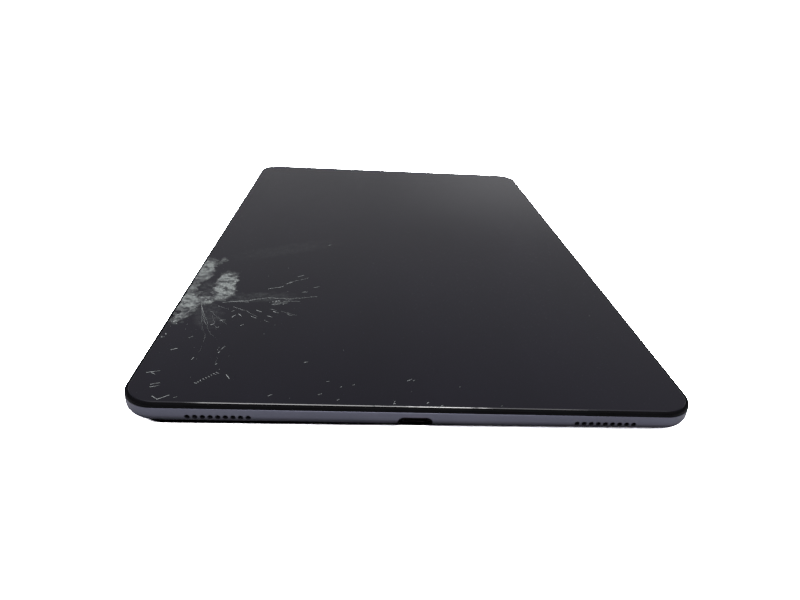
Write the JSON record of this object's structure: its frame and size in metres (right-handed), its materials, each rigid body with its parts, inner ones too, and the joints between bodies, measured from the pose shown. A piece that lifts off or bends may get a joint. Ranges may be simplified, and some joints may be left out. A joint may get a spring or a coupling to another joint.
{
  "type": "tablet computer",
  "caption": "Slim tablet computer with a metal rear cover, black front frame and cracked cover glass, sound holes and a port on its lower edge, side keys and a card tray.",
  "frame": {"origin": "middle of the flat back, on the surface that the tablet lies on", "axes": "+Z out of the screen, +Y from the port edge to the top edge along the long side, +X to the right of the upright screen, where the keys are"},
  "size_m": [0.1497, 0.2452, 0.0075],
  "materials": {
    "cover_glass": "polished, cracked at the left edge",
    "black_plastic": "satin gloss",
    "inner_plastic": "moulded matte",
    "blue_grey_metal": "fine blasted and anodised blue-grey",
    "steel_sheet": "fine brushed",
    "copper": "plated",
    "board": "solder mask",
    "chip": "moulded epoxy",
    "flex": "polyimide film",
    "panel": "display glass",
    "camera_glass": "polished",
    "white_film": "white film",
    "pouch": "laminated foil",
    "soft_rubber": "moulded rubber"
  },
  "bodies": {
    "body": {"cover_glass": "cover_glass", "front_frame": "black_plastic", "glass_adhesive": "soft_rubber", "touch_film": "panel", "touch_flex": "flex", "lcd_panel": "panel", "lcd_flex": "flex", "diffuser_films": "white_film", "light_guide": "white_film", "backlight_led_strip": "white_film", "backlight_tray": "steel_sheet", "front_camera": "chip", "light_sensor": "flex", "rear_cover": "blue_grey_metal", "rear_camera_housing": "inner_plastic", "rear_camera_window": "camera_glass", "rear_camera_ring": "blue_grey_metal", "rear_camera_flex": "flex", "main_board": "board", "processor_chip": "chip", "memory_chips": "chip", "power_chip": "chip", "radio_chip": "chip", "processor_shield": "steel_sheet", "radio_shield": "steel_sheet", "thermal_pad": "soft_rubber", "battery_cell_left": "pouch", "battery_cell_right": "pouch", "battery_board": "board", "battery_flex": "flex", "battery_adhesive": "white_film", "usb_port_shell": "steel_sheet", "usb_port_tongue": "inner_plastic", "sub_board": "board", "sub_board_flex": "flex", "headphone_jack": "inner_plastic", "jack_contacts": "copper", "speaker_box_left": "inner_plastic", "speaker_box_right": "inner_plastic", "speaker_drivers": "steel_sheet", "speaker_meshes": "steel_sheet", "key_bracket": "steel_sheet", "key_flex": "flex", "key_switches": "chip", "card_reader_shell": "steel_sheet", "card_reader_base": "inner_plastic", "lever_pin": "steel_sheet", "microphones": "steel_sheet", "board_screws": "steel_sheet", "wifi_antenna": "inner_plastic", "antenna_cable": "soft_rubber"},
    "power_button": {"power_key": "blue_grey_metal", "power_plunger": "white_film"},
    "volume_button": {"volume_key": "blue_grey_metal", "volume_plungers": "white_film"},
    "tray": {"card_tray": "blue_grey_metal", "tray_seal": "soft_rubber"},
    "eject_pushrod": {"eject_rod": "steel_sheet"},
    "eject_arm": {"eject_lever": "steel_sheet"},
    "lens": {"rear_camera_barrel": "inner_plastic"}
  },
  "joints": [
    {"name": "power_press", "type": "slide", "parent": "body", "child": "power_button", "axis": [-1, 0, 0], "range_m": [0, 0.0003], "stiffness_N_per_m": 5000},
    {"name": "volume_rock", "type": "hinge", "parent": "body", "child": "volume_button", "pos_m": [0.0734, 0.073, 0.0041], "axis": [0, 0, 1], "range_deg": [-2, 2], "stiffness_Nm_per_rad": 0.25},
    {"name": "tray_slide", "type": "slide", "parent": "body", "child": "tray", "axis": [1, 0, 0], "range_m": [0, 0.024]},
    {"name": "eject_push", "type": "slide", "parent": "body", "child": "eject_pushrod", "axis": [-1, 0, 0], "range_m": [0, 0.0012]},
    {"name": "lever_turn", "type": "hinge", "parent": "body", "child": "eject_arm", "pos_m": [0.053, 0.0486, 0.004], "axis": [0, 0, 1], "range_deg": [-14, 0]},
    {"name": "focus_travel", "type": "slide", "parent": "body", "child": "lens", "axis": [0, 0, -1], "range_m": [0, 0.0003], "stiffness_N_per_m": 150}
  ],
  "couplings": [
    {"joint": "lever_turn", "follows": "eject_push", "rad_per_m": -200}
  ]
}
